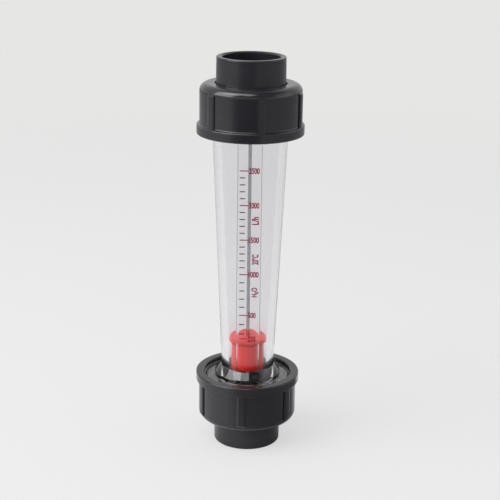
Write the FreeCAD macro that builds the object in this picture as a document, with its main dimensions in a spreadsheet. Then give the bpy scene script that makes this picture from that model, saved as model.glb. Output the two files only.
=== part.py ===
"""A plastic-tube rotameter for a 32 mm solvent-cement pipe, standing on its lower pipe socket.

Z is the flow axis, pointing up, and z = 0 is the mouth of the lower pipe socket. The two ends
are alike, so each end piece is made once in the place it has at the lower end, and its upper
twin is turned over about X and moved up by the meter's length. Lengths are in millimetres.
"""
import FreeCAD, Part
import math
import os
import Sketcher
from FreeCAD import Placement, Rotation, Vector

DIMENSIONS = (
    ("total_length", 226.2, "over both pipe sockets"),
    # pipe socket and its union tail
    ("socket_rim_radius", 19.1, "outside, at the mouth"),
    ("socket_root_radius", 19.3, "outside, where it enters the nut"),
    ("socket_bore_radius", 16.15, "for a 32 mm pipe"),
    ("socket_depth", 22.0, "pipe stop below the mouth"),
    ("socket_lead_in", 0.8, "chamfer at the bore's mouth"),
    ("socket_rim_round", 0.6, "round on the outer rim"),
    ("flow_radius", 12.5, "25 mm waterway behind the pipe stop"),
    ("tail_flange_radius", 22.7, "flange that the nut pulls on"),
    ("tail_flange_back", 19.0, "back of that flange"),
    ("tail_face", 26.0, "face of that flange"),
    ("groove_inner_radius", 17.5, "face groove for the seal"),
    ("groove_outer_radius", 21.2, "face groove for the seal"),
    ("groove_depth", 2.6, "face groove for the seal"),
    ("seal_section_radius", 1.5, "O-ring, squeezed"),
    # union nut
    ("nut_back", 14.6, "end wall's outer face"),
    ("nut_mouth", 42.7, "open face towards the tube"),
    ("nut_hole_radius", 20.0, "hole around the socket"),
    ("nut_body_radius", 28.3, "outside"),
    ("nut_back_round", 4.2, "round on the closed end"),
    ("nut_flange_radius", 29.9, "collar at the open face"),
    ("nut_flange_height", 5.6, "collar at the open face"),
    ("nut_flange_round", 0.75, "round on the collar's edges"),
    ("nut_bore_radius", 25.0, "root of the nut's thread"),
    ("nut_entry_round", 0.5, "chamfer at the bore's mouth"),
    ("rib_count", 6, "grip ribs on each nut"),
    ("rib_width", 5.0, "grip rib"),
    ("rib_radius", 29.3, "over the ribs"),
    ("rib_corner", 1.1, "round on the rib's long edges"),
    ("rib_start", 3.6, "ribs begin this far above the end wall's face"),
    ("upper_nut_turn", -78.3, "degrees, one rib from +X"),
    ("lower_nut_turn", -96.5, "degrees, one rib from +X"),
    # measuring tube
    ("tube_end", 26.4, "end face of the tube"),
    ("collar_radius", 22.9, "root of the G 1 1/2 thread"),
    ("land_radius", 23.6, "plain land behind the thread"),
    ("land_height", 1.2, "plain land behind the thread"),
    ("land_chamfer", 0.4, "its edge"),
    ("collar_face", 40.3, "collar's inner face"),
    ("boss_height", 2.3, "boss on that face"),
    ("lower_boss_radius", 18.85, "boss at the lower end"),
    ("upper_boss_radius", 22.4, "boss at the upper end"),
    ("taper_low", 46.9, "outside taper begins"),
    ("taper_high", 175.7, "outside taper ends"),
    ("tube_lower_radius", 15.1, "outside, at the taper's low end"),
    ("tube_upper_radius", 20.65, "outside, at the taper's high end"),
    ("flare_height", 181.6, "wide end's flare"),
    ("flare_radius", 20.95, "wide end's flare"),
    ("flat_half_width", 6.5, "flat that carries the scale"),
    ("bore_lower_radius", 11.05, "throat under the scale"),
    ("bore_upper_radius", 16.3, "wide end"),
    ("taper_start", 56.3, "measuring taper begins"),
    ("taper_end", 185.3, "measuring taper ends"),
    ("lower_seat_radius", 13.5, "seat for the lower float stop"),
    ("upper_seat_radius", 17.3, "seat for the upper float stop"),
    ("seat_depth", 3.0, "both seats"),
    # float stops and guide rod
    ("seat_clearance", 0.05, "stop's ring in its seat"),
    ("lower_ring_inner", 11.6, "ring of the lower stop"),
    ("upper_ring_inner", 14.9, "ring of the upper stop"),
    ("spoke_count", 3, "spokes of a stop"),
    ("spoke_width", 2.2, "spoke"),
    ("spoke_height", 1.8, "spoke"),
    ("hub_radius", 4.2, "hub that holds the rod"),
    ("hub_reach", 2.4, "hub past the ring, towards the socket"),
    ("lower_hub_top", 44.8, "the float lands here"),
    ("upper_hub_bottom", 187.2, "the float stops here"),
    ("rod_radius", 1.5, "stainless guide rod"),
    ("rod_hole_radius", 1.55, "blind hole in a hub"),
    ("hub_web", 1.0, "closed end of that hole"),
    # float
    ("float_top", 64.8, "flat top, at rest"),
    ("float_top_round", 1.0, "round on the head"),
    ("float_head_radius", 11.0, "reading edge"),
    ("float_head_low", 62.8, "head's straight edge ends"),
    ("float_neck", 60.6, "head meets the body"),
    ("float_body_radius", 9.45, "body"),
    ("float_joint", 47.0, "shell meets its cap"),
    ("float_nose_radius", 9.1, "landing face"),
    ("float_bore_radius", 1.58, "runs on the rod"),
    ("float_core_radius", 2.5, "tube around that bore"),
    ("float_cavity_radius", 8.4, "holds the ballast"),
    ("float_cavity_top", 61.3, "holds the ballast"),
    ("float_spigot", 2.0, "cap's spigot in the cavity"),
    ("ballast_gap", 0.05, "ballast in the cavity"),
)

doc = FreeCAD.newDocument("Rotameter")


def make_sheet():
    """Put every driving dimension in a spreadsheet cell of its own, with its name as alias."""
    sheet = doc.addObject("Spreadsheet::Sheet", "Sizes")
    for row, (alias, value, note) in enumerate(DIMENSIONS, start=1):
        sheet.set(f"A{row}", note)
        sheet.set(f"B{row}", str(value))
        sheet.setAlias(f"B{row}", alias)
    doc.recompute()
    return sheet


def size(text):
    """Turn 'a + b' into the same formula with every word read from the spreadsheet."""
    functions = ("sqrt", "sin", "cos", "mm")
    words, word = [], ""
    for letter in text + " ":
        if letter.isalpha() or letter == "_":
            word += letter
            continue
        if word:
            words.append(word if word in functions else "Sizes." + word)
            word = ""
        words.append(letter)
    return "".join(words).strip()


def new_body(name):
    body = doc.addObject("PartDesign::Body", name)
    body.Label = name
    return body


def sketch_on(body, plane, name):
    """An empty sketch on one of the body's own origin planes."""
    sketch = body.newObject("Sketcher::SketchObject", name)
    support = next(f for f in body.Origin.OriginFeatures if f.Role == plane)
    sketch.AttachmentSupport = [(support, "")]
    sketch.MapMode = "FlatFace"
    return sketch


def bind(sketch, kind, value, *places):
    """Add one dimension to a sketch and tie it to a formula of the spreadsheet."""
    index = sketch.addConstraint(Sketcher.Constraint(kind, *places, 1.0))
    sketch.setExpression(f"Constraints[{index}]", size(value))


def draw_outline(sketch, corners):
    """Draw a closed outline of straight edges, each corner held by its two coordinates."""
    count = len(corners)
    first = sketch.GeometryCount
    turn = 2 * math.pi / count
    ring = [Vector(20 + math.cos(turn * i), 20 + math.sin(turn * i), 0) for i in range(count)]
    for i in range(count):
        sketch.addGeometry(Part.LineSegment(ring[i], ring[(i + 1) % count]), False)
    for i in range(count):
        following = first + (i + 1) % count
        sketch.addConstraint(Sketcher.Constraint("Coincident", first + i, 2, following, 1))
    for i, (across, along) in enumerate(corners):
        bind(sketch, "DistanceX", across, -1, 1, first + i, 1)
        bind(sketch, "DistanceY", along, -1, 1, first + i, 1)


def draw_circle(sketch, radius):
    """Draw a circle about the origin."""
    index = sketch.addGeometry(Part.Circle(Vector(0, 0, 0), Vector(0, 0, 1), 5.0), False)
    sketch.addConstraint(Sketcher.Constraint("Coincident", index, 3, -1, 1))
    bind(sketch, "Radius", radius, index)


def revolve(body, name, corners, kind="PartDesign::Revolution"):
    """Turn an outline of (radius, height) corners about the body's Z axis, adding or cutting."""
    sketch = sketch_on(body, "XZ_Plane", name + "_outline")
    draw_outline(sketch, corners)
    feature = body.newObject(kind, name)
    feature.Profile = sketch
    feature.ReferenceAxis = (sketch, ["V_Axis"])
    feature.Angle = 360
    doc.recompute()
    return feature


def pad_from(body, name, draw, height, start):
    """Extrude what draw makes on the XY plane upwards by height, beginning at start."""
    sketch = sketch_on(body, "XY_Plane", name + "_outline")
    sketch.setExpression("AttachmentOffset.Base.z", size(start))
    draw(sketch)
    feature = body.newObject("PartDesign::Pad", name)
    feature.Profile = sketch
    feature.setExpression("Length", size(height))
    doc.recompute()
    return feature


def repeat_around(body, feature, count):
    """Repeat a feature evenly about the body's Z axis."""
    pattern = body.newObject("PartDesign::PolarPattern", feature.Name + "_ring")
    pattern.Originals = [feature]
    z_axis = next(f for f in body.Origin.OriginFeatures if f.Role == "Z_Axis")
    pattern.Axis = (z_axis, [""])
    pattern.Angle = 360
    pattern.setExpression("Occurrences", size(count))
    body.Tip = pattern
    doc.recompute()
    return pattern


def circles_at(feature, places):
    """Name the circular edges of a feature that have one of the (radius, height) places."""
    found = []
    for number, edge in enumerate(feature.Shape.Edges, start=1):
        if not isinstance(edge.Curve, Part.Circle) or abs(edge.Curve.Center.x) > 0.01:
            continue
        here = (edge.Curve.Radius, edge.Curve.Center.z)
        if any(math.dist(here, place) < 0.01 for place in places):
            found.append(f"Edge{number}")
    return found


def round_edges(body, name, feature, places, radius):
    fillet = body.newObject("PartDesign::Fillet", name)
    fillet.Base = (feature, circles_at(feature, places))
    fillet.setExpression("Radius", size(radius))
    doc.recompute()
    return fillet


def stand_at_lower_end(body, turn=0.0):
    body.Placement = Placement(Vector(0, 0, 0), Rotation(Vector(0, 0, 1), turn))


def stand_at_upper_end(body, turn=0.0):
    over = Rotation(Vector(1, 0, 0), 180)
    about_z = Rotation(Vector(0, 0, 1), turn)
    body.Placement = Placement(Vector(0, 0, sheet.total_length), about_z.multiply(over))


def make_socket(name, stand):
    """Pipe socket and union tail, moulded as one: barrel, pipe stop, flange and seal groove."""
    body = new_body(name)
    barrel = revolve(body, name + "_barrel", (
        ("socket_rim_radius", "0"),
        ("socket_root_radius", "nut_back"),
        ("socket_root_radius", "tail_flange_back"),
        ("tail_flange_radius", "tail_flange_back"),
        ("tail_flange_radius", "tail_face"),
        ("flow_radius", "tail_face"),
        ("flow_radius", "socket_depth"),
        ("socket_bore_radius", "socket_depth"),
        ("socket_bore_radius", "socket_lead_in"),
        ("socket_bore_radius + socket_lead_in", "0"),
    ))
    groove = revolve(body, name + "_seal_groove", (
        ("groove_inner_radius", "tail_face + groove_depth"),
        ("groove_outer_radius", "tail_face + groove_depth"),
        ("groove_outer_radius", "tail_face - groove_depth"),
        ("groove_inner_radius", "tail_face - groove_depth"),
    ), "PartDesign::Groove")
    if groove.Shape.Volume >= barrel.Shape.Volume:
        raise ValueError(name + ": the seal groove cut nothing")
    rim = [(sheet.socket_rim_radius, 0.0)]
    round_edges(body, name + "_rim_round", groove, rim, "socket_rim_round")
    stand(body)
    return body


def make_union_nut(name, stand, turn):
    """Union nut: round closed end, collar at the mouth and grip ribs between the two."""
    body = new_body(name)
    shell = revolve(body, name + "_shell", (
        ("nut_hole_radius", "nut_back"),
        ("nut_body_radius", "nut_back"),
        ("nut_body_radius", "nut_mouth - nut_flange_height"),
        ("nut_flange_radius", "nut_mouth - nut_flange_height"),
        ("nut_flange_radius", "nut_mouth"),
        ("nut_bore_radius + nut_entry_round", "nut_mouth"),
        ("nut_bore_radius", "nut_mouth - nut_entry_round"),
        ("nut_bore_radius", "tail_flange_back"),
        ("nut_hole_radius", "tail_flange_back"),
    ))
    back = [(sheet.nut_body_radius, sheet.nut_back)]
    rounded = round_edges(body, name + "_back_round", shell, back, "nut_back_round")
    flange_low = sheet.nut_mouth - sheet.nut_flange_height
    collar = [(sheet.nut_flange_radius, sheet.nut_mouth), (sheet.nut_flange_radius, flange_low)]
    collar.append((sheet.nut_body_radius, flange_low))
    round_edges(body, name + "_collar_round", rounded, collar, "nut_flange_round")
    rib_end = "nut_back + rib_start"
    rib_length = f"nut_mouth - nut_flange_height - ({rib_end})"
    rib = pad_from(body, name + "_rib", draw_rib, rib_length, rib_end)
    ribs = repeat_around(body, rib, "rib_count")
    rise = "(rib_radius - nut_body_radius)"
    bevel = revolve(body, name + "_rib_bevel", (
        ("nut_body_radius", rib_end),
        (f"nut_body_radius + 2 * {rise}", f"{rib_end} + 2 * {rise}"),
        (f"nut_body_radius + 2 * {rise}", f"{rib_end} - {rise}"),
    ), "PartDesign::Groove")
    if bevel.Shape.Volume >= ribs.Shape.Volume:
        raise ValueError(name + ": the rib bevel cut nothing")
    stand(body, turn)
    return body


def draw_rib(sketch):
    """A rib's section: a block with its two outer corners cut, reaching into the nut's wall."""
    inner = "nut_body_radius - rib_corner"
    draw_outline(sketch, (
        (inner, "-rib_width / 2"),
        ("rib_radius - rib_corner / 2", "-rib_width / 2"),
        ("rib_radius", "-rib_width / 2 + rib_corner"),
        ("rib_radius", "rib_width / 2 - rib_corner"),
        ("rib_radius - rib_corner / 2", "rib_width / 2"),
        (inner, "rib_width / 2"),
    ))


def make_seal(name, stand):
    """O-ring in the groove of the union tail, pressed flat to the tube's end face."""
    ring = doc.addObject("Part::Torus", name)
    ring.Label = name
    ring.setExpression("Radius1", size("(groove_inner_radius + groove_outer_radius) / 2"))
    ring.setExpression("Radius2", size("seal_section_radius"))
    middle = sheet.tail_face - sheet.groove_depth + sheet.seal_section_radius
    stand(ring)
    ring.Placement = ring.Placement.multiply(Placement(Vector(0, 0, middle), Rotation()))
    doc.recompute()
    return ring


def make_tube():
    """Clear measuring tube: tapered bore, threaded collar at each end and a flat for the scale."""
    body = new_body("measuring_tube")
    solid = revolve(body, "tube_wall", (
        ("collar_radius", "tube_end"),
        ("collar_radius", "collar_face - land_height"),
        ("land_radius", "collar_face - land_height"),
        ("land_radius", "collar_face - land_chamfer"),
        ("land_radius - land_chamfer", "collar_face"),
        ("lower_boss_radius", "collar_face"),
        ("lower_boss_radius", "collar_face + boss_height"),
        ("tube_lower_radius", "taper_low"),
        ("tube_upper_radius", "taper_high"),
        ("flare_radius", "flare_height"),
        ("upper_boss_radius", "total_length - collar_face - boss_height"),
        ("upper_boss_radius", "total_length - collar_face"),
        ("land_radius - land_chamfer", "total_length - collar_face"),
        ("land_radius", "total_length - collar_face + land_chamfer"),
        ("land_radius", "total_length - collar_face + land_height"),
        ("collar_radius", "total_length - collar_face + land_height"),
        ("collar_radius", "total_length - tube_end"),
        ("upper_seat_radius", "total_length - tube_end"),
        ("upper_seat_radius", "total_length - tube_end - seat_depth"),
        ("bore_upper_radius", "total_length - tube_end - seat_depth"),
        ("bore_upper_radius", "taper_end"),
        ("bore_lower_radius", "taper_start"),
        ("bore_lower_radius", "tube_end + seat_depth"),
        ("lower_seat_radius", "tube_end + seat_depth"),
        ("lower_seat_radius", "tube_end"),
    ))
    flat = cut_scale_flat(body)
    if flat.Shape.Volume >= solid.Shape.Volume:
        raise ValueError("the scale flat cut nothing")
    return body


def cut_scale_flat(body):
    """Cut the tube's front to a flat that leans with the taper, from its foot to the top collar."""
    half = "flat_half_width * flat_half_width"
    low = f"sqrt(tube_lower_radius * tube_lower_radius - {half})"
    high = f"sqrt(tube_upper_radius * tube_upper_radius - {half})"
    slope = f"({high} - {low}) / (taper_high - taper_low)"
    sketch = sketch_on(body, "YZ_Plane", "scale_flat_outline")
    draw_outline(sketch, (
        (f"-({low})", "taper_low"),
        (f"-({high} + {slope} * (total_length - collar_face - taper_high))",
         "total_length - collar_face"),
        ("-land_radius * 2", "total_length - collar_face"),
        ("-land_radius * 2", "taper_low"),
    ))
    pocket = body.newObject("PartDesign::Pocket", "scale_flat")
    pocket.Profile = sketch
    pocket.Midplane = True
    pocket.setExpression("Length", size("land_radius * 4"))
    doc.recompute()
    return pocket


def make_stop(name, stand, seat_radius, ring_inner, hub_length):
    """Float stop: a ring in the tube's end, spokes, and a hub with a blind hole for the rod."""
    body = new_body(name)
    ring_outer = f"{seat_radius} - seat_clearance"
    revolve(body, name + "_ring", (
        (ring_outer, "tube_end"),
        (ring_outer, "tube_end + seat_depth"),
        (ring_inner, "tube_end + seat_depth"),
        (ring_inner, "tube_end"),
    ))
    spoke = pad_from(body, name + "_spoke", lambda sketch: draw_outline(sketch, (
        ("hub_radius / 2", "-spoke_width / 2"),
        (f"{ring_inner} + spoke_width / 4", "-spoke_width / 2"),
        (f"{ring_inner} + spoke_width / 4", "spoke_width / 2"),
        ("hub_radius / 2", "spoke_width / 2"),
    )), "spoke_height", "tube_end")
    spoke.Refine = True
    repeat_around(body, spoke, "spoke_count")
    hub = pad_from(
        body, name + "_hub", lambda sketch: draw_circle(sketch, "hub_radius"),
        hub_length, "tube_end - hub_reach"
    )
    hole = revolve(body, name + "_rod_hole", (
        ("0", "tube_end - hub_reach + hub_web"),
        ("rod_hole_radius", "tube_end - hub_reach + hub_web"),
        ("rod_hole_radius", f"tube_end - hub_reach + {hub_length} + hub_web"),
        ("0", f"tube_end - hub_reach + {hub_length} + hub_web"),
    ), "PartDesign::Groove")
    if hole.Shape.Volume >= hub.Shape.Volume:
        raise ValueError(name + ": the rod hole cut nothing")
    stand(body)
    return body


def make_guide_rod():
    """Stainless rod that the float slides on, from the web of one stop's hub to the other's."""
    rod = doc.addObject("Part::Cylinder", "guide_rod")
    rod.Label = "guide_rod"
    low = "tube_end - hub_reach + hub_web"
    rod.setExpression("Radius", size("rod_radius"))
    rod.setExpression("Height", size(f"total_length - 2 * ({low})"))
    rod.setExpression("Placement.Base.z", size(low))
    doc.recompute()
    return rod


def make_float_shell():
    """Red shell: reading head, body and a guide tube, moulded as one and open underneath."""
    body = new_body("float_shell")
    shell = revolve(body, "shell_wall", (
        ("float_bore_radius", "float_joint"),
        ("float_bore_radius", "float_top"),
        ("float_head_radius", "float_top"),
        ("float_head_radius", "float_head_low"),
        ("float_body_radius", "float_neck"),
        ("float_body_radius", "float_joint"),
        ("float_cavity_radius", "float_joint"),
        ("float_cavity_radius", "float_cavity_top"),
        ("float_core_radius", "float_cavity_top"),
        ("float_core_radius", "float_joint"),
    ))
    edge = [(sheet.float_head_radius, sheet.float_top)]
    round_edges(body, "shell_head_round", shell, edge, "float_top_round")
    return body


def make_float_cap():
    """Red cap that closes the shell: a blunt nose below and a spigot in the cavity above."""
    body = new_body("float_cap")
    revolve(body, "cap_wall", (
        ("float_core_radius + ballast_gap", "lower_hub_top"),
        ("float_nose_radius", "lower_hub_top"),
        ("float_body_radius", "float_joint"),
        ("float_cavity_radius - ballast_gap", "float_joint"),
        ("float_cavity_radius - ballast_gap", "float_joint + float_spigot"),
        ("float_core_radius + ballast_gap", "float_joint + float_spigot"),
    ))
    return body


def make_float_ballast():
    """Steel sleeve that weights the float, between the guide tube and the shell's wall."""
    low, high = "float_joint + float_spigot", "float_cavity_top"
    tools = []
    for name, radius in (
        ("ballast_outside", "float_cavity_radius - ballast_gap"),
        ("ballast_hole", "float_core_radius + ballast_gap"),
    ):
        rod = doc.addObject("Part::Cylinder", name)
        rod.setExpression("Radius", size(radius))
        rod.setExpression("Height", size(f"{high} - ({low})"))
        rod.setExpression("Placement.Base.z", size(low))
        tools.append(rod)
    sleeve = doc.addObject("Part::Cut", "float_ballast")
    sleeve.Label = "float_ballast"
    sleeve.Base, sleeve.Tool = tools
    doc.recompute()
    return sleeve


def check_document():
    """Stop if any object failed, which a recompute alone doesn't say."""
    doc.recompute()
    for item in doc.Objects:
        if "Invalid" in item.State or "Error" in item.State:
            raise ValueError(f"{item.Name} failed: {item.State}")


def export(pieces):
    """Check each sub-part's shape and write it to its own file."""
    for piece in pieces:
        if piece.Shape.isNull() or not piece.Shape.isValid():
            raise ValueError(piece.Label + " has no valid shape")
    os.makedirs("parts", exist_ok=True)
    for piece in pieces:
        piece.Shape.exportStep(f"parts/{piece.Label}.step")
        box = piece.Shape.BoundBox
        print(f"{piece.Label:18s} {len(piece.Shape.Solids)} solid  {piece.Shape.Volume:9.1f} mm3"
              f"  z {box.ZMin:7.2f} to {box.ZMax:7.2f}  radius {box.XMax:6.2f}")


sheet = make_sheet()
lower_hub = "lower_hub_top - tube_end + hub_reach"
upper_hub = "total_length - upper_hub_bottom - tube_end + hub_reach"
sub_parts = [
    make_socket("lower_socket", stand_at_lower_end),
    make_socket("upper_socket", stand_at_upper_end),
    make_union_nut("lower_union_nut", stand_at_lower_end, sheet.lower_nut_turn),
    make_union_nut("upper_union_nut", stand_at_upper_end, sheet.upper_nut_turn),
    make_seal("lower_o_ring", stand_at_lower_end),
    make_seal("upper_o_ring", stand_at_upper_end),
    make_tube(),
    make_stop("lower_float_stop", stand_at_lower_end,
              "lower_seat_radius", "lower_ring_inner", lower_hub),
    make_stop("upper_float_stop", stand_at_upper_end,
              "upper_seat_radius", "upper_ring_inner", upper_hub),
    make_guide_rod(),
    make_float_shell(),
    make_float_ballast(),
    make_float_cap(),
]
check_document()
export(sub_parts)
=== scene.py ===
# %% [markdown]
# # A rotameter in clear and black plastic
# A rotameter shows the flow in a pipe by how high a weighted float rides in a tube that widens
# upwards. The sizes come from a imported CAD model, and this script dresses it: it gives every
# solid its plastic or steel, and adds what a solid model leaves out, which is the clear tube's
# optical surfaces, the screw threads and the printed scale.

# %% Load the frame
import math

import bpy
from mathutils import Matrix, Vector


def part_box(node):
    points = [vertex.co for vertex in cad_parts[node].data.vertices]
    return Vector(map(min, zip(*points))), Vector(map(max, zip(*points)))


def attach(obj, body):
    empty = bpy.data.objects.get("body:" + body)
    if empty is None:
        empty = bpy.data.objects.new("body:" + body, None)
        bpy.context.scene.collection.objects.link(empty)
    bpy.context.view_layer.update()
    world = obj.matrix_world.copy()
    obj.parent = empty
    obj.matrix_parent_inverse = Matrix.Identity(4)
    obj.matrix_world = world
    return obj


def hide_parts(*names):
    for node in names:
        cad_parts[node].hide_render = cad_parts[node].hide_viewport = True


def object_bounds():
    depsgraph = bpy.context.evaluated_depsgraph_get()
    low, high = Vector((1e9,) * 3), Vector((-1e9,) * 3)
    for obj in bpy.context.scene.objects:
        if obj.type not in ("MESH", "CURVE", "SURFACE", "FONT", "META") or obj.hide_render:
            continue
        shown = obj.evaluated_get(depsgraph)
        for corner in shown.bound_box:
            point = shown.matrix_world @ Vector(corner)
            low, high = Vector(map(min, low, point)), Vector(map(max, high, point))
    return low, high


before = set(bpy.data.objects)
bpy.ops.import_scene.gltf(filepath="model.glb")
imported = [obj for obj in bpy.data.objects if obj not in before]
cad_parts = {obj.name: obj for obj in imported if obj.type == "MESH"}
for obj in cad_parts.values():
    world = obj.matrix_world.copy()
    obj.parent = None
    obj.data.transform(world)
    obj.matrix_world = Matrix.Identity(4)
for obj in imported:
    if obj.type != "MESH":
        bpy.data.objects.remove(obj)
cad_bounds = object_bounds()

MM = 0.001
METER_TOP = cad_bounds[1][2]
print("height over both sockets:", round(METER_TOP / MM, 1), "mm")

# %% [markdown]
# ## The camera
# A long lens about 0.7 m away keeps the tube's taper honest. The camera looks down a little, so
# that the lower nut shows the clear collar inside its mouth, and it is rolled by under a degree.
# Its axes are built one by one, because pitch, yaw and roll are then three plain numbers.

# %% Camera
CAMERA_PLACE = Vector((0.0, -0.6837, 0.3292))
PITCH, YAW, ROLL = math.radians(17.34), math.radians(0.053), math.radians(0.79)
LENS, SENSOR = 90.6, 36.0
NEAREST_SEEN = 0.01


def camera_axes(pitch, yaw, roll):
    """A turn that looks along +Y, tips down by pitch, turns right by yaw and rolls by roll."""
    flat = math.cos(pitch)
    ahead = Vector((math.sin(yaw) * flat, math.cos(yaw) * flat, -math.sin(pitch)))
    level = ahead.cross(Vector((0, 0, 1))).normalized()
    upright = level.cross(ahead)
    right = level * math.cos(roll) + upright * math.sin(roll)
    above = upright * math.cos(roll) - level * math.sin(roll)
    return Matrix((right, above, -ahead)).transposed()


bpy.ops.object.camera_add(location=CAMERA_PLACE)
camera = bpy.context.object
camera.name = "camera"
camera.rotation_euler = camera_axes(PITCH, YAW, ROLL).to_euler()
camera.data.lens = LENS
camera.data.sensor_width = SENSOR
camera.data.clip_start = NEAREST_SEEN
bpy.context.scene.camera = camera
bpy.context.scene.view_settings.view_transform = "Standard"
print("camera:", round(CAMERA_PLACE.length, 2), "m from the meter's foot")

# %% [markdown]
# ## Colours and nodes
# Colours are written as sRGB hex values, as a colour picker gives them, and one function turns
# them into the linear values that Cycles works with. One more function adds a shader node, sets
# its values and links its inputs, so that a material reads as a short list of nodes.


# %% Small helpers for materials
def linear(code):
    """An sRGB hex colour as linear red, green and blue, with an alpha of 1."""
    parts = [int(code[i:i + 2], 16) / 255 for i in (1, 3, 5)]
    curve = [c / 12.92 if c <= 0.04045 else ((c + 0.055) / 1.055) ** 2.4 for c in parts]
    return (*curve, 1.0)


def add_node(tree, kind, settings=None, **inputs):
    """Add a node. settings are its properties; inputs are values, or the sockets to link."""
    node = tree.nodes.new(kind)
    for name, value in (settings or {}).items():
        setattr(node, name, value)
    for name, value in inputs.items():
        socket = node.inputs[int(name[1:]) if name[0] == "_" else name.replace("_", " ")]
        if isinstance(value, bpy.types.NodeSocket):
            tree.links.new(value, socket)
        else:
            socket.default_value = value
    return node


def new_material(name):
    """A material with an empty node tree, the tree, and its output node."""
    material = bpy.data.materials.new(name)
    material.use_nodes = True
    material.node_tree.nodes.clear()
    output = add_node(material.node_tree, "ShaderNodeOutputMaterial")
    return material, material.node_tree, output


# %% [markdown]
# ## Floor and light
# The meter stands on a pale floor under soft studio light. Glossy black plastic is seen mostly by
# what it mirrors, so the room is given some shape: it is lighter at the sides than in front, and
# darker overhead as a studio ceiling is. The floor's paint, which the camera does not see, has
# painted shade in a wedge in front and a painted pool of light round the meter's foot. A black
# cylinder then shows a dark middle between two lighter sides. To the eye the floor is one even
# tone, partly lit by itself, so it meets the backdrop without a line and still keeps the meter's
# shadow.

# %% World
BACKDROP, LIGHT_COLOUR = "#E6E6E5", "#F4F6FA"
DARK_SIDE, DARK_EDGES = (0.20, -0.97, -0.10), (0.35, 0.92)
FRONT_LIGHT, SIDE_LIGHT = 0.30, 0.90
CEILING, CEILING_EDGES = (0.15, -0.45, 0.88), (0.40, 0.85)
CEILING_LIGHT = 0.25


def rays_of(tree, names):
    """1 for rays of the named kinds, such as camera rays, and 0 for all others."""
    kinds = add_node(tree, "ShaderNodeLightPath")
    either = kinds.outputs[names[0]]
    for name in names[1:]:
        either = add_node(tree, "ShaderNodeMath", {"operation": "MAXIMUM"},
                          _0=either, _1=kinds.outputs[name]).outputs[0]
    return either


world = bpy.data.worlds.new("studio")
bpy.context.scene.world = world
world.use_nodes = True
sky = world.node_tree
sky.nodes.clear()
facing = add_node(sky, "ShaderNodeTexCoord").outputs["Generated"]
upward = add_node(sky, "ShaderNodeVectorMath", {"operation": "DOT_PRODUCT"}, _0=facing, _1=CEILING)
ceiling = add_node(sky, "ShaderNodeMapRange", {"interpolation_type": "SMOOTHSTEP"},
                   Value=upward.outputs["Value"], To_Min=1.0, To_Max=CEILING_LIGHT,
                   From_Min=CEILING_EDGES[0], From_Max=CEILING_EDGES[1])
shown = add_node(sky, "ShaderNodeBackground", Color=linear(BACKDROP),
                 Strength=ceiling.outputs["Result"])
forward = add_node(sky, "ShaderNodeVectorMath", {"operation": "DOT_PRODUCT"},
                   _0=facing, _1=DARK_SIDE)
level = add_node(sky, "ShaderNodeMapRange", {"interpolation_type": "SMOOTHSTEP"},
                 Value=forward.outputs["Value"], To_Min=SIDE_LIGHT, To_Max=FRONT_LIGHT,
                 From_Min=DARK_EDGES[0], From_Max=DARK_EDGES[1])
lighting = add_node(sky, "ShaderNodeBackground", Color=linear(LIGHT_COLOUR),
                    Strength=level.outputs["Result"])
direct = rays_of(sky, ("Is Camera Ray", "Is Transmission Ray", "Is Glossy Ray"))
room = add_node(sky, "ShaderNodeMixShader", _0=direct,
                _1=lighting.outputs[0], _2=shown.outputs[0])
add_node(sky, "ShaderNodeOutputWorld", Surface=room.outputs[0])
print("world:", BACKDROP, "shown,", LIGHT_COLOUR, "lights")

# %% Floor: painted shade and a painted pool of light, for the plastic to mirror
FLOOR_SIZE, FLOOR_GAP = 12.0, 0.05
# Painted shade: the floor's paint is darker in a wedge that opens from beside the meter towards the
# front.
SHADE_WEDGE_START, SHADE_WEDGE_WAY = (0.12, 0.10, 0.0), (-0.26, -0.966, 0.0)
SHADE_WEDGE_EDGES = (0.84, 0.97)
# A painted pool of light: the floor's paint is lighter near the meter's foot and fades to its far
# tone between these two distances, in metres. Each pair of tones below is the pool's tone, then the
# far tone.
LIGHT_POOL_INNER, LIGHT_POOL_OUTER = 0.12, 0.45
SIDE_TONES_POOLED = ("#D0D0D0", "#AEAEAE")
PAINTED_SHADE_TONES = ("#828282", "#606060")

bpy.ops.mesh.primitive_plane_add(size=FLOOR_SIZE, location=(0, 0, -FLOOR_GAP * MM))
floor = bpy.context.object
floor.name = "floor"
floor_finish, tree, output = new_material("pale studio floor")
where = add_node(tree, "ShaderNodeTexCoord").outputs["Object"]
away = add_node(tree, "ShaderNodeVectorMath", {"operation": "SUBTRACT"}, _0=where, _1=SHADE_WEDGE_START)
heading = add_node(tree, "ShaderNodeVectorMath", {"operation": "NORMALIZE"},
                   _0=away.outputs["Vector"])
along = add_node(tree, "ShaderNodeVectorMath", {"operation": "DOT_PRODUCT"},
                 _0=heading.outputs["Vector"], _1=SHADE_WEDGE_WAY)
# The painted shade wedge: 1 on the floor in front of the meter, 0 at the sides.
painted_shade_wedge = add_node(tree, "ShaderNodeMapRange", {"interpolation_type": "SMOOTHSTEP"},
                 Value=along.outputs["Value"],
                 From_Min=SHADE_WEDGE_EDGES[0], From_Max=SHADE_WEDGE_EDGES[1])
reach = add_node(tree, "ShaderNodeVectorMath", {"operation": "LENGTH"}, _0=where).outputs["Value"]
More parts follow.
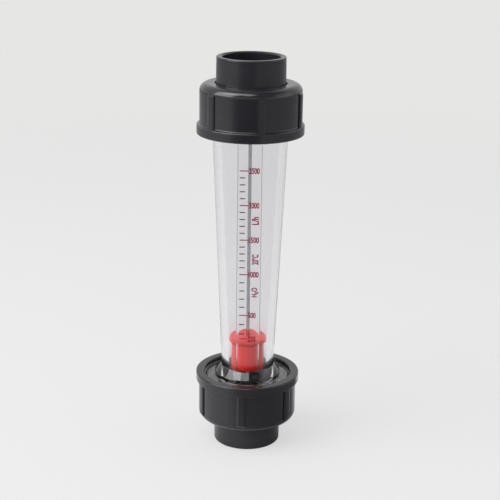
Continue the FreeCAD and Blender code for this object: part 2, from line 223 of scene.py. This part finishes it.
# Painted pool of light: 0 near the meter's foot, 1 beyond it.
outside_light_pool = add_node(tree, "ShaderNodeMapRange", {"interpolation_type": "SMOOTHSTEP"},
                Value=reach, From_Min=LIGHT_POOL_INNER, From_Max=LIGHT_POOL_OUTER)
painted_floor_tone = add_node(tree, "ShaderNodeMix", {"data_type": "RGBA"}, Factor=painted_shade_wedge.outputs["Result"])
for socket, (near, far) in (("A", SIDE_TONES_POOLED), ("B", PAINTED_SHADE_TONES)):
    tone = add_node(tree, "ShaderNodeMix", {"data_type": "RGBA"}, Factor=outside_light_pool.outputs["Result"])
    tone.inputs["A"].default_value = linear(near)
    tone.inputs["B"].default_value = linear(far)
    tree.links.new(tone.outputs["Result"], painted_floor_tone.inputs[socket])
print("floor:", FLOOR_SIZE, "m square")

# %% Floor: the even tone that is seen
SEEN_TONE = "#D4D4D4"
NEAR_OWN_LIGHT, FAR_OWN_LIGHT = 0.75, 1.00
NEAR_EDGE, FAR_EDGE = 0.40, 1.20

seen = rays_of(tree, ("Is Camera Ray", "Is Transmission Ray"))
colour = add_node(tree, "ShaderNodeMix", {"data_type": "RGBA"}, Factor=seen)
tree.links.new(painted_floor_tone.outputs["Result"], colour.inputs["A"])
colour.inputs["B"].default_value = linear(SEEN_TONE)
paint = add_node(tree, "ShaderNodeBsdfDiffuse", Color=colour.outputs["Result"])
glow = add_node(tree, "ShaderNodeEmission", Color=linear(BACKDROP), Strength=1.0)
own_light = add_node(tree, "ShaderNodeMapRange", {"interpolation_type": "SMOOTHSTEP"},
                     Value=reach, From_Min=NEAR_EDGE, From_Max=FAR_EDGE,
                     To_Min=NEAR_OWN_LIGHT, To_Max=FAR_OWN_LIGHT)
share = add_node(tree, "ShaderNodeMath", {"operation": "MULTIPLY"},
                 _0=seen, _1=own_light.outputs["Result"])
surface = add_node(tree, "ShaderNodeMixShader", _0=share.outputs[0],
                   _1=paint.outputs[0], _2=glow.outputs[0])
tree.links.new(surface.outputs[0], output.inputs["Surface"])
floor.data.materials.append(floor_finish)
print("stage: world and floor")

# %% Lamps
MIDDLE = (0, 0, METER_TOP / 2)


def add_softbox(name, place, size, power):
    """An area lamp in metres and watts, turned to the meter and not seen through clear plastic."""
    bpy.ops.object.light_add(type="AREA", location=place)
    lamp = bpy.context.object
    lamp.name = name
    towards = Vector(MIDDLE) - Vector(place)
    lamp.rotation_euler = towards.to_track_quat("-Z", "Y").to_euler()
    lamp.data.shape = "RECTANGLE"
    lamp.data.size, lamp.data.size_y = size
    lamp.data.energy = power
    lamp.visible_transmission = False
    print(name, power, "W")


add_softbox("left softbox", (-1.10, -0.50, 0.95), (1.2, 1.2), 18.0)
add_softbox("overhead softbox", (-0.32, -0.42, 1.00), (1.0, 0.45), 5.0)
add_softbox("right softbox", (1.1, -0.15, 0.6), (0.9, 0.9), 1.2)

# %% [markdown]
# ## Black moulded PVC
# The sockets and union nuts are injection moulded in black PVC. Such a surface has a soft gloss
# that dimly mirrors the room. A flat colour would look like paint, so three noise patterns break
# it up: faint flow marks in the colour, a fine grain from the mould as a bump, and handling marks
# where the gloss is a little duller. The real grain is under 0.1 mm and is drawn coarser here, so
# that it shows. The colour is a very dark blue grey. The stops are a duller black polypropylene.

# %% Material: black PVC
FLOW_MARK, HANDLING_MARK = 14.0, 6.0
GRAIN_DEPTH = 0.05


def black_plastic(name, colour, marked, rough, grain_size):
    """Moulded black plastic. marked is the colour of its faint flow marks."""
    material, tree, output = new_material(name)
    where = add_node(tree, "ShaderNodeTexCoord").outputs["Object"]
    flow = add_node(tree, "ShaderNodeTexNoise", Vector=where,
                    Scale=1 / (FLOW_MARK * MM), Detail=4.0)
    tone = add_node(tree, "ShaderNodeMix", {"data_type": "RGBA"}, Factor=flow.outputs["Fac"])
    tone.inputs["A"].default_value = linear(colour)
    tone.inputs["B"].default_value = linear(marked)
    grain = add_node(tree, "ShaderNodeTexNoise", Vector=where,
                     Scale=1 / (grain_size * MM), Detail=2.0)
    bump = add_node(tree, "ShaderNodeBump", Height=grain.outputs["Fac"],
                    Strength=0.06, Distance=GRAIN_DEPTH * MM)
    handled = add_node(tree, "ShaderNodeTexNoise", Vector=where,
                       Scale=1 / (HANDLING_MARK * MM), Detail=5.0)
    sheen = add_node(tree, "ShaderNodeMapRange", Value=handled.outputs["Fac"],
                     To_Min=rough - 0.05, To_Max=rough + 0.08)
    skin = add_node(tree, "ShaderNodeBsdfPrincipled", Base_Color=tone.outputs["Result"],
                    Roughness=sheen.outputs["Result"], Normal=bump.outputs["Normal"], IOR=1.53)
    tree.links.new(skin.outputs["BSDF"], output.inputs["Surface"])
    return material


socket_pvc = black_plastic("black PVC, moulded, soft gloss", "#1B1A1F", "#212025", 0.22, 0.35)
nut_pvc = black_plastic("black PVC, moulded, finer grain", "#19191E", "#201F24", 0.17, 0.30)
stop_plastic = black_plastic("black polypropylene, moulded", "#202022", "#28282A", 0.45, 0.25)
print("black plastics:", socket_pvc.name, "|", nut_pvc.name, "|", stop_plastic.name)

# %% [markdown]
# ## Clear moulded plastic
# The tube is moulded in a clear, hard plastic of the styrene family with an index of refraction
# near 1.56. Its skin is polished, with a slight waviness along the draw of the mould. A Principled
# shader with full transmission bends light as the real wall does. Lamps must reach the float
# inside, so for shadow rays the plastic turns plainly transparent. The long edges of the scale's
# flat get a duller, greyer kind of their own.

# %% Material: clear styrene plastic
CLEAR_INDEX = 1.56
RIPPLE_SIZE, RIPPLE_DEPTH, RIPPLE_STRETCH = 9.0, 0.3, (1.0, 1.0, 0.12)
CLEAR_SHADE = "#EDECF0"


def clear_styrene(name, colour, rough):
    """Clear plastic, waved a little along the draw of the mould."""
    material, tree, output = new_material(name)
    where = add_node(tree, "ShaderNodeTexCoord").outputs["Object"]
    drawn = add_node(tree, "ShaderNodeMapping", Vector=where, Scale=RIPPLE_STRETCH)
    ripple = add_node(tree, "ShaderNodeTexNoise", Vector=drawn.outputs["Vector"],
                      Scale=1 / (RIPPLE_SIZE * MM), Detail=1.0)
    bump = add_node(tree, "ShaderNodeBump", Height=ripple.outputs["Fac"],
                    Strength=0.03, Distance=RIPPLE_DEPTH * MM)
    body = add_node(tree, "ShaderNodeBsdfPrincipled", Base_Color=linear(colour), Roughness=rough,
                    IOR=CLEAR_INDEX, Transmission_Weight=1.0, Normal=bump.outputs["Normal"])
    opening = add_node(tree, "ShaderNodeBsdfTransparent", Color=linear(CLEAR_SHADE))
    path = add_node(tree, "ShaderNodeLightPath")
    through = add_node(tree, "ShaderNodeMixShader", _0=path.outputs["Is Shadow Ray"],
                       _1=body.outputs["BSDF"], _2=opening.outputs["BSDF"])
    tree.links.new(through.outputs[0], output.inputs["Surface"])
    return material


clear_plastic = clear_styrene("clear styrene plastic, moulded", "#F3F2F4", 0.0)
# The flat's long edges get a darker, greyer and rougher clear finish.
greyed_flat_edge = clear_styrene("clear styrene plastic, greyed edge", "#8C8A92", 0.45)
print("clear plastics:", clear_plastic.name, "|", greyed_flat_edge.name)

# %% [markdown]
# ## Printing ink
# The scale is pad printed in a dark red ink, which lies on the plastic as a film a few hundredths
# of a millimetre thick. A picture on the tube could carry it, but thin real films stay sharp at
# any distance. The ink is a little uneven where it is thin, so its brightness wavers finely. The
# short marks are printed in a darker, almost black red.

# %% Material: printing ink
INK_SPECKLE = 0.25


def printing_ink(name, colour):
    """Ink film: even colour with a slight speckle where it is thin."""
    material, tree, output = new_material(name)
    where = add_node(tree, "ShaderNodeTexCoord").outputs["Object"]
    speckle = add_node(tree, "ShaderNodeTexNoise", Vector=where,
                       Scale=1 / (INK_SPECKLE * MM), Detail=1.0)
    tone = add_node(tree, "ShaderNodeHueSaturation", Color=linear(colour))
    value = add_node(tree, "ShaderNodeMapRange", Value=speckle.outputs["Fac"],
                     To_Min=0.9, To_Max=1.1)
    tree.links.new(value.outputs["Result"], tone.inputs["Value"])
    film = add_node(tree, "ShaderNodeBsdfPrincipled", Base_Color=tone.outputs["Color"],
                    Roughness=0.35, IOR=1.48)
    tree.links.new(film.outputs["BSDF"], output.inputs["Surface"])
    return material


numeral_ink = printing_ink("dark red printing ink", "#8C0038")
tick_ink = printing_ink("dark red printing ink, thin lines", "#3C1828")
print("inks:", numeral_ink.name, "|", tick_ink.name)

# %% [markdown]
# ## The float's red plastic, steel and rubber
# The float is red moulded ABS with a soft gloss, so it gets the same kind of flow marks and grain
# as the black plastic. The rod is drawn stainless steel, with fine lines along it, and the ballast
# is turned steel, with fine lines round it: one noise pattern, stretched one way or the other,
# makes both. Real tool lines are finer, and are drawn 0.2 mm apart here so that they show. The
# seals are EPDM rubber, matt and a little dusty.

# %% Material: red ABS
RED_FLOW_MARK, RED_GRAIN = 8.0, 0.5


def red_plastic(name, colour, marked):
    """Moulded red plastic with a soft gloss. marked is the colour of its faint flow marks."""
    material, tree, output = new_material(name)
    where = add_node(tree, "ShaderNodeTexCoord").outputs["Object"]
    flow = add_node(tree, "ShaderNodeTexNoise", Vector=where,
                    Scale=1 / (RED_FLOW_MARK * MM), Detail=3.0)
    tone = add_node(tree, "ShaderNodeMix", {"data_type": "RGBA"}, Factor=flow.outputs["Fac"])
    tone.inputs["A"].default_value = linear(colour)
    tone.inputs["B"].default_value = linear(marked)
    grain = add_node(tree, "ShaderNodeTexNoise", Vector=where,
                     Scale=1 / (RED_GRAIN * MM), Detail=2.0)
    bump = add_node(tree, "ShaderNodeBump", Height=grain.outputs["Fac"],
                    Strength=0.05, Distance=GRAIN_DEPTH * MM)
    skin = add_node(tree, "ShaderNodeBsdfPrincipled", Base_Color=tone.outputs["Result"],
                    Roughness=0.28, IOR=1.54, Normal=bump.outputs["Normal"])
    tree.links.new(skin.outputs["BSDF"], output.inputs["Surface"])
    return material


red_abs = red_plastic("red ABS, moulded, semi-gloss", "#E81C15", "#EC2820")
print("float's plastic:", red_abs.name)

# %% Material: steel
TOOL_LINE, LINE_DEPTH = 0.2, 0.02
ALONG_THE_AXIS, ROUND_THE_AXIS = (1, 1, 0.02), (0.02, 0.02, 1)


def lined_steel(name, colour, rough, stretch):
    """Steel with fine tool lines. stretch scales the pattern down along the lines."""
    material, tree, output = new_material(name)
    where = add_node(tree, "ShaderNodeTexCoord").outputs["Object"]
    along = add_node(tree, "ShaderNodeMapping", Vector=where, Scale=stretch)
    lines = add_node(tree, "ShaderNodeTexNoise", Vector=along.outputs["Vector"],
                     Scale=1 / (TOOL_LINE * MM), Detail=3.0)
    bump = add_node(tree, "ShaderNodeBump", Height=lines.outputs["Fac"],
                    Strength=0.15, Distance=LINE_DEPTH * MM)
    sheen = add_node(tree, "ShaderNodeMapRange", Value=lines.outputs["Fac"],
                     To_Min=rough - 0.06, To_Max=rough + 0.06)
    metal = add_node(tree, "ShaderNodeBsdfPrincipled", Base_Color=linear(colour), Metallic=1.0,
                     Roughness=sheen.outputs["Result"], Normal=bump.outputs["Normal"])
    tree.links.new(metal.outputs["BSDF"], output.inputs["Surface"])
    return material


drawn_steel = lined_steel("stainless steel, drawn", "#ABACB0", 0.14, ALONG_THE_AXIS)
turned_steel = lined_steel("mild steel, turned", "#A9AAAC", 0.32, ROUND_THE_AXIS)
print("steels:", drawn_steel.name, "|", turned_steel.name)

# %% Material: rubber
DUST_SIZE, DUST_DEPTH = 1.5, 0.05


def dusty_rubber(name, colour):
    """Matt rubber, uneven where dust sits on it."""
    material, tree, output = new_material(name)
    where = add_node(tree, "ShaderNodeTexCoord").outputs["Object"]
    dust = add_node(tree, "ShaderNodeTexNoise", Vector=where,
                    Scale=1 / (DUST_SIZE * MM), Detail=4.0)
    bump = add_node(tree, "ShaderNodeBump", Height=dust.outputs["Fac"],
                    Strength=0.2, Distance=DUST_DEPTH * MM)
    sheen = add_node(tree, "ShaderNodeMapRange", Value=dust.outputs["Fac"],
                     To_Min=0.6, To_Max=0.8)
    skin = add_node(tree, "ShaderNodeBsdfPrincipled", Base_Color=linear(colour), IOR=1.5,
                    Roughness=sheen.outputs["Result"], Normal=bump.outputs["Normal"])
    tree.links.new(skin.outputs["BSDF"], output.inputs["Surface"])
    return material


rubber = dusty_rubber("black EPDM rubber", "#141415")
print("seals:", rubber.name)

# %% [markdown]
# ## Dressing the solids
# Sockets, nuts, stops, seals, rod and float keep the solids that the CAD model gives them, because
# their shapes are complete. Each one only needs its finish. The clear tube is left out here: it is
# made again further down.

# %% Materials onto the CAD nodes
NODE_FINISH = {
    "lower_socket": socket_pvc, "upper_socket": socket_pvc,
    "lower_union_nut": nut_pvc, "upper_union_nut": nut_pvc,
    "lower_float_stop": stop_plastic, "upper_float_stop": stop_plastic,
    "lower_o_ring": rubber, "upper_o_ring": rubber,
    "guide_rod": drawn_steel, "float_ballast": turned_steel,
    "float_shell": red_abs, "float_cap": red_abs,
}
for name, finish in NODE_FINISH.items():
    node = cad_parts[name]
    if not node.data.materials:
        node.data.materials.append(finish)
    for index in range(len(node.data.materials)):
        node.data.materials[index] = finish
print("dressed", len(NODE_FINISH), "CAD nodes")

# %% [markdown]
# ## Modelling helpers
# A turned part starts as one half of its section. The outline is walked with extrudes from a
# single vertex, its corners are rounded, and the closed outline is spun about the Z axis. Every
# finished piece ends with its object at the origin and its place in its mesh.


# %% Helpers: from a vertex to an outline
def only(piece):
    """Select one object alone and make it active."""
    bpy.ops.object.select_all(action="DESELECT")
    piece.select_set(True)
    bpy.context.view_layer.objects.active = piece


def single_vertex(name, place):
    """A new mesh object of one vertex, made from a plane merged to its centre."""
    bpy.ops.object.select_all(action="DESELECT")
    bpy.ops.mesh.primitive_plane_add(size=MM, location=(0, 0, 0))
    piece = bpy.context.object
    piece.name = piece.data.name = name
    bpy.ops.object.mode_set(mode="EDIT")
    bpy.ops.mesh.merge(type="CENTER")
    bpy.ops.transform.translate(value=place)
    return piece


def walk_outline(corners):
    """Extrude the selected vertex from corner to corner, then close the outline."""
    here = corners[0]
    for corner in corners[1:]:
        step = (corner[0] - here[0], 0.0, corner[1] - here[1])
        bpy.ops.mesh.extrude_region_move(TRANSFORM_OT_translate={"value": step})
        here = corner
    bpy.ops.mesh.select_all(action="DESELECT")
    bpy.ops.object.mode_set(mode="OBJECT")
    mesh = bpy.context.object.data
    joined = [index for edge in mesh.edges for index in edge.vertices]
    for vertex in mesh.vertices:
        vertex.select = joined.count(vertex.index) == 1
    bpy.ops.object.mode_set(mode="EDIT")
    bpy.ops.mesh.edge_face_add()


# %% Helpers: rounding and turning
ROUND_STEPS = 9
DOUBLES_WITHIN = 0.001


def round_corner(place, radius):
    """Round the outline's corner nearest to a place (radius, height)."""
    bpy.ops.mesh.select_all(action="DESELECT")
    bpy.ops.object.mode_set(mode="OBJECT")
    target = Vector((place[0], 0.0, place[1]))
    nearest = min(bpy.context.object.data.vertices, key=lambda v: (v.co - target).length)
    nearest.select = True
    bpy.ops.object.mode_set(mode="EDIT")
    bpy.ops.mesh.bevel(offset=radius, segments=ROUND_STEPS, affect="VERTICES",
                       offset_type="OFFSET")


def turned(name, outline, steps):
    """A closed ring, turned from corners of (radius, height, round) in millimetres."""
    corners = [(radius * MM, height * MM) for radius, height, _ in outline]
    piece = single_vertex(name, (corners[0][0], 0.0, corners[0][1]))
    walk_outline(corners)
    for corner, (_, _, size) in zip(corners, outline):
        if size:
            round_corner(corner, size * MM)
    bpy.ops.mesh.select_all(action="SELECT")
    bpy.ops.mesh.spin(steps=steps, angle=math.tau, center=(0, 0, 0), axis=(0, 0, 1))
    bpy.ops.mesh.select_all(action="SELECT")
    bpy.ops.mesh.remove_doubles(threshold=DOUBLES_WITHIN * MM)
    bpy.ops.mesh.normals_make_consistent(inside=False)
    bpy.ops.object.mode_set(mode="OBJECT")
    return piece


# %% Helpers: booleans, shading and finishing
SMOOTH_UP_TO = math.radians(12)


def combine(piece, other, how):
    """Join or cut a piece with another by a boolean, and remove the other."""
    only(piece)
    modifier = piece.modifiers.new("combine", "BOOLEAN")
    modifier.operation, modifier.object, modifier.solver = how, other, "EXACT"
    bpy.ops.object.modifier_apply(modifier=modifier.name)
    bpy.data.objects.remove(other, do_unlink=True)


def smooth(piece):
    """Smooth shading, with the sharper edges kept."""
    only(piece)
    bpy.ops.object.shade_smooth_by_angle(angle=SMOOTH_UP_TO)


def finish_piece(piece, body, material):
    """Put the place into the mesh, give the piece its material and fix it to a body."""
    only(piece)
    bpy.ops.object.transform_apply(location=True, rotation=True, scale=True)
    piece.data.materials.clear()
    piece.data.materials.append(material)
    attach(piece, body)
    print(piece.name, len(piece.data.polygons), "faces")


# %% [markdown]
# ## Screw threads
# The union thread is G 1 1/2: 47.8 mm across, with a turn every 2.309 mm. One ridge with a narrow
# crest is swept round the axis by a Screw modifier, and its two open ends are closed. The ridges
# on the clear tube are merged into its collars, and those in the nuts stand inwards. Their crests
# just clear each other, because the nuts here turn without moving along.

# %% Thread ridges
THREAD_PITCH = 25.4 / 11
RIDGE_HALF_WIDTH = THREAD_PITCH * 0.42
CREST_HALF_WIDTH = RIDGE_HALF_WIDTH * 0.15
RIDGE_FOOT_DEPTH = 0.15
STEPS_PER_TURN = 48


def thread_ridge(name, root, crest, start, length):
    """A helical ridge from a root to a crest radius, in millimetres, its foot sunk in the wall."""
    foot = root + math.copysign(RIDGE_FOOT_DEPTH, root - crest)
    section = [(foot, start - RIDGE_HALF_WIDTH), (crest, start - CREST_HALF_WIDTH),
               (crest, start + CREST_HALF_WIDTH), (foot, start + RIDGE_HALF_WIDTH)]
    corners = [(radius * MM, height * MM) for radius, height in section]
    ridge = single_vertex(name, (corners[0][0], 0.0, corners[0][1]))
    walk_outline(corners)
    bpy.ops.object.mode_set(mode="OBJECT")
    turns = length / THREAD_PITCH
    screw = ridge.modifiers.new("helix", "SCREW")
    screw.axis, screw.angle = "Z", math.tau * turns
    screw.screw_offset = length * MM
    screw.steps = screw.render_steps = round(STEPS_PER_TURN * turns)
    only(ridge)
    bpy.ops.object.modifier_apply(modifier=screw.name)
    bpy.ops.object.mode_set(mode="EDIT")
    bpy.ops.mesh.select_all(action="DESELECT")
    bpy.ops.mesh.select_non_manifold(extend=False, use_wire=False, use_multi_face=False,
                                     use_non_contiguous=False, use_verts=False)
    bpy.ops.mesh.edge_face_add()
    bpy.ops.mesh.select_all(action="SELECT")
    bpy.ops.mesh.normals_make_consistent(inside=False)
    bpy.ops.object.mode_set(mode="OBJECT")
    return ridge


# %% [markdown]
# ## The clear measuring tube
# A tessellated solid shows its facets as stripes once light bends through it, so the tube is
# turned again here with many more steps and true smooth shading. Its section is the solid's own,
# with its corners eased as a mould eases them. The flat for the scale is cut afterwards by a block
# whose inner face leans with the taper.

# %% Measuring tube
LENGTH = METER_TOP / MM
TUBE_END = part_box("measuring_tube")[0][2] / MM
TUBE_STEPS = 256
COLLAR_RADIUS, COLLAR_FACE = 22.9, 40.3
LAND_RADIUS, LAND_HEIGHT = 23.6, 1.2
LOWER_BOSS_RADIUS, UPPER_BOSS_RADIUS, BOSS_HEIGHT = 18.85, 22.4, 2.3
TAPER_LOW, TAPER_HIGH, FLARE = (15.1, 46.9), (20.65, 175.7), (20.95, 181.6)
BORE_LOW, BORE_HIGH = (11.05, 56.3), (16.3, 185.3)
LOWER_SEAT_RADIUS, UPPER_SEAT_RADIUS, SEAT_DEPTH = 13.5, 17.3, 3.0
upper_face = LENGTH - COLLAR_FACE
upper_end = LENGTH - TUBE_END

tube_outline = (
    (COLLAR_RADIUS, TUBE_END, 0),
    (COLLAR_RADIUS, COLLAR_FACE - LAND_HEIGHT, 0),
    (LAND_RADIUS, COLLAR_FACE - LAND_HEIGHT, 0),
    (LAND_RADIUS, COLLAR_FACE, 0.4),
    (LOWER_BOSS_RADIUS, COLLAR_FACE, 0.3),
    (LOWER_BOSS_RADIUS, COLLAR_FACE + BOSS_HEIGHT, 0.5),
    (*TAPER_LOW, 0.4),
    (*TAPER_HIGH, 1.0),
    (*FLARE, 0.8),
    (UPPER_BOSS_RADIUS, upper_face - BOSS_HEIGHT, 0),
    (UPPER_BOSS_RADIUS, upper_face, 0),
    (LAND_RADIUS, upper_face, 0.4),
    (LAND_RADIUS, upper_face + LAND_HEIGHT, 0),
    (COLLAR_RADIUS, upper_face + LAND_HEIGHT, 0),
    (COLLAR_RADIUS, upper_end, 0),
    (UPPER_SEAT_RADIUS, upper_end, 0),
    (UPPER_SEAT_RADIUS, upper_end - SEAT_DEPTH, 0),
    (BORE_HIGH[0], upper_end - SEAT_DEPTH, 0),
    (*BORE_HIGH, 1.5),
    (*BORE_LOW, 1.5),
    (BORE_LOW[0], TUBE_END + SEAT_DEPTH, 0),
    (LOWER_SEAT_RADIUS, TUBE_END + SEAT_DEPTH, 0),
    (LOWER_SEAT_RADIUS, TUBE_END, 0),
)
tube = turned("clear_tube", tube_outline, TUBE_STEPS)
print("tube turned:", len(tube.data.polygons), "faces")

# %% Threads on the collars
COLLAR_THREAD_CREST = 23.9
COLLAR_THREAD_LENGTH = 4.5 * THREAD_PITCH
THREAD_INSET = 2.0
for start in (TUBE_END + THREAD_INSET, upper_end - THREAD_INSET - COLLAR_THREAD_LENGTH):
    ridge = thread_ridge("collar_thread", COLLAR_RADIUS, COLLAR_THREAD_CREST, start,
                         COLLAR_THREAD_LENGTH)
    combine(tube, ridge, "UNION")
print("tube with threads:", len(tube.data.polygons), "faces")

# %% Scale flat
FLAT_HALF_WIDTH = 6.5
BLOCK_WIDTH, BLOCK_DEPTH = 60.0, 20.0


def flat_distance(height):
    """How far the flat lies from the axis at a height, both in millimetres."""
    (low_radius, low_height), (high_radius, high_height) = TAPER_LOW, TAPER_HIGH
    low = math.sqrt(low_radius ** 2 - FLAT_HALF_WIDTH ** 2)
    high = math.sqrt(high_radius ** 2 - FLAT_HALF_WIDTH ** 2)
    return low + (high - low) * (height - low_height) / (high_height - low_height)


def cut_flat(piece):
    """Cut the front with a block whose inner face is the flat, up from where the taper begins."""
    bpy.ops.object.select_all(action="DESELECT")
    bpy.ops.mesh.primitive_cube_add(size=1.0, location=(0, 0, 0))
    block = bpy.context.object
    for vertex in block.data.vertices:
        z = upper_face if vertex.co.z > 0 else TAPER_LOW[1]
        y = -flat_distance(z) - (0 if vertex.co.y > 0 else BLOCK_DEPTH)
        vertex.co = Vector((vertex.co.x * BLOCK_WIDTH * MM, y * MM, z * MM))
    combine(piece, block, "DIFFERENCE")


cut_flat(tube)
finish_piece(tube, "meter", clear_plastic)

# %% The flat's greyed edges
FLAT_EDGE_WIDTH = 0.18
ON_FLAT_WITHIN = 0.002
STEEPNESS = 0.3


def soften_flat_edges(piece):
    """Bevel the two long edges of the flat, and give the bevels the material in slot 1."""
    only(piece)
    bpy.ops.object.mode_set(mode="EDIT")
    bpy.ops.mesh.select_all(action="DESELECT")
    bpy.ops.object.mode_set(mode="OBJECT")
    mesh = piece.data

    def on_flat(place):
        return abs(place.y / MM + flat_distance(place.z / MM)) < ON_FLAT_WITHIN

    chosen = 0
    for edge in mesh.edges:
        first, second = (mesh.vertices[index].co for index in edge.vertices)
        upright = abs(first.x - second.x) < STEEPNESS * abs(first.z - second.z)
        if on_flat(first) and on_flat(second) and upright:
            edge.select = True
            chosen += 1
    bpy.ops.object.mode_set(mode="EDIT")
    bpy.ops.mesh.bevel(offset=FLAT_EDGE_WIDTH * MM, segments=2, affect="EDGES", material=1)
    bpy.ops.object.mode_set(mode="OBJECT")
    print("flat edges softened:", chosen, "edges")


tube.data.materials.append(greyed_flat_edge)
soften_flat_edges(tube)
smooth(tube)
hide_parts("measuring_tube")

# %% Threads in the nuts
NUT_BORE, NUT_THREAD_CREST = 25.0, 24.05
NUT_THREAD_START, NUT_THREAD_LENGTH = 25.0, 15.5
for end, start in (("lower", NUT_THREAD_START),
                   ("upper", LENGTH - NUT_THREAD_START - NUT_THREAD_LENGTH)):
    ridge = thread_ridge(end + "_nut_thread", NUT_BORE, NUT_THREAD_CREST, start,
                         NUT_THREAD_LENGTH)
    smooth(ridge)
    finish_piece(ridge, end + "_nut", nut_pvc)

# %% [markdown]
# ## The printed scale
# The scale reads in litres an hour, from 250 to 2500. Its marks draw closer together upwards,
# because the gap round the float grows faster in area as the bore widens. Each mark is a thin film
# on the flat, so marks and figures are drawn level, given the film's thickness, and stood on the
# flat by one placing function, which knows the flat's lean. The print itself also leans a little
# to one side, so the function moves each mark across by its height.

# %% Where the marks are
SCALE_HEIGHTS = {250: 67.2, 300: 70.2, 400: 76.0, 500: 81.7, 1000: 106.4,
                 1500: 126.8, 2000: 146.9, 2500: 166.6}
FIGURES = (250, 500, 1000, 1500, 2000, 2500)
SMALL_FLOWS = [flow for flow in range(300, 2500, 100) if flow not in FIGURES]
FILM, FILM_GAP = 0.04, 0.01
PRINT_FROM, PRINT_TO = 80.0, 166.0
SHIFT_LOW, SHIFT_HIGH = 0.55, 0.12
FLAT_TILT = math.atan(flat_distance(1.0) - flat_distance(0.0))


def scale_height(flow):
    """Height of a flow's mark in millimetres, in even steps between the known heights."""
    if flow in SCALE_HEIGHTS:
        return SCALE_HEIGHTS[flow]
    below = max(known for known in SCALE_HEIGHTS if known < flow)
    above = min(known for known in SCALE_HEIGHTS if known > flow)
    share = (flow - below) / (above - below)
    return SCALE_HEIGHTS[below] + share * (SCALE_HEIGHTS[above] - SCALE_HEIGHTS[below])


def stand_on_flat(piece, height):
    """Stand a level drawing on the flat, its origin at a height on the print's leaning line."""
    tilt = Matrix.Rotation(math.pi / 2 + FLAT_TILT, 4, "X")
    rise = (height - PRINT_FROM) / (PRINT_TO - PRINT_FROM)
    across = SHIFT_LOW + (SHIFT_HIGH - SHIFT_LOW) * rise
    ahead = flat_distance(height) + FILM_GAP
    place = Matrix.Translation((across * MM, -ahead * MM, height * MM))
    piece.matrix_world = place @ tilt


print("the flat leans by", round(math.degrees(FLAT_TILT), 2), "degrees")

# %% Marks
MARK_LEFT, SHORT_RIGHT, LONG_RIGHT = -5.6, -2.65, -0.7
MARK_THICK, MARK_ROUND = 0.56, 0.01


def add_mark(flow, right):
    """One line of the scale, as a thin slab with softened edges."""
    bpy.ops.object.select_all(action="DESELECT")
    bpy.ops.mesh.primitive_cube_add(size=1.0, location=(0, 0, 0))
    mark = bpy.context.object
    bpy.ops.object.mode_set(mode="EDIT")
    bpy.ops.transform.resize(value=((right - MARK_LEFT) * MM, MARK_THICK * MM, FILM * MM))
    centre = ((right + MARK_LEFT) / 2 * MM, 0, FILM / 2 * MM)
    bpy.ops.transform.translate(value=centre)
    bpy.ops.mesh.bevel(offset=MARK_ROUND * MM, segments=1, affect="EDGES")
    bpy.ops.object.mode_set(mode="OBJECT")
    stand_on_flat(mark, scale_height(flow))
    return mark


def join_all(pieces, name):
    """Join several objects into one, after putting each one's place into its mesh."""
    bpy.ops.object.select_all(action="DESELECT")
    for piece in pieces:
        piece.select_set(True)
    bpy.context.view_layer.objects.active = pieces[0]
    bpy.ops.object.transform_apply(location=True, rotation=True, scale=True)
    bpy.ops.object.join()
    pieces[0].name = pieces[0].data.name = name
    return pieces[0]


for name, flows, right, ink in (("scale_long_marks", FIGURES, LONG_RIGHT, numeral_ink),
                                ("scale_short_marks", SMALL_FLOWS, SHORT_RIGHT, tick_ink)):
    marks = join_all([add_mark(flow, right) for flow in flows], name)
    finish_piece(marks, "meter", ink)

# %% Helpers: figures and words
LETTER_STEPS, LETTER_BOLDER = 6, 0.034
LETTER_DOUBLES_WITHIN = 0.0001


def add_words(name, text, width, height):
    """Text as a mesh of film thickness, scaled to an exact size and centred on the origin."""
    bpy.ops.object.select_all(action="DESELECT")
    bpy.ops.object.text_add(location=(0, 0, 0))
    words = bpy.context.object
    words.data.body = text
    words.data.size = 1.0
    words.data.resolution_u = LETTER_STEPS
    words.data.extrude = 0.5
    words.data.offset = LETTER_BOLDER
    bpy.ops.object.convert(target="MESH")
    words.name = words.data.name = name
    xs = [vertex.co.x for vertex in words.data.vertices]
    ys = [vertex.co.y for vertex in words.data.vertices]
    bpy.ops.object.mode_set(mode="EDIT")
    bpy.ops.mesh.select_all(action="SELECT")
    centre = (-(min(xs) + max(xs)) / 2, -(min(ys) + max(ys)) / 2, 0.5)
    bpy.ops.transform.translate(value=centre)
    scale = (width * MM / (max(xs) - min(xs)), height * MM / (max(ys) - min(ys)), FILM * MM)
    bpy.ops.transform.resize(value=scale, center_override=(0, 0, 0))
    bpy.ops.mesh.remove_doubles(threshold=LETTER_DOUBLES_WITHIN * MM)
    bpy.ops.object.mode_set(mode="OBJECT")
    return words


def shift_across(piece, right, quarter_turns=0):
    """Turn level words by quarter turns and move them along the scale's width."""
    turn = Matrix.Rotation(quarter_turns * math.pi / 2, 4, "Z")
    piece.data.transform(Matrix.Translation((right * MM, 0, 0)) @ turn)


# %% Figures and words
FIGURE_HEIGHT, DIGIT_PITCH, FIGURE_LEFT = 3.5, 1.44, -0.55
figures = []
for flow in FIGURES:
    width = DIGIT_PITCH * len(str(flow))
    figure = add_words(f"figure_{flow}", str(flow), width, FIGURE_HEIGHT)
    shift_across(figure, FIGURE_LEFT + width / 2)
    stand_on_flat(figure, scale_height(flow))
    figures.append(figure)
finish_piece(join_all(figures, "scale_figures"), "meter", numeral_ink)

WORDS = (("unit", "L/h", 135.8, 140.4), ("temperature", "20°C", 112.3, 118.4),
         ("medium", "H₂O", 92.8, 98.6))
WORD_LEFT, WORD_RIGHT = 1.2, 5.1
for name, text, low, high in WORDS:
    word = add_words("scale_" + name, text, high - low, WORD_RIGHT - WORD_LEFT)
    shift_across(word, (WORD_LEFT + WORD_RIGHT) / 2, 1)
    stand_on_flat(word, (low + high) / 2)
    finish_piece(word, "meter", numeral_ink)
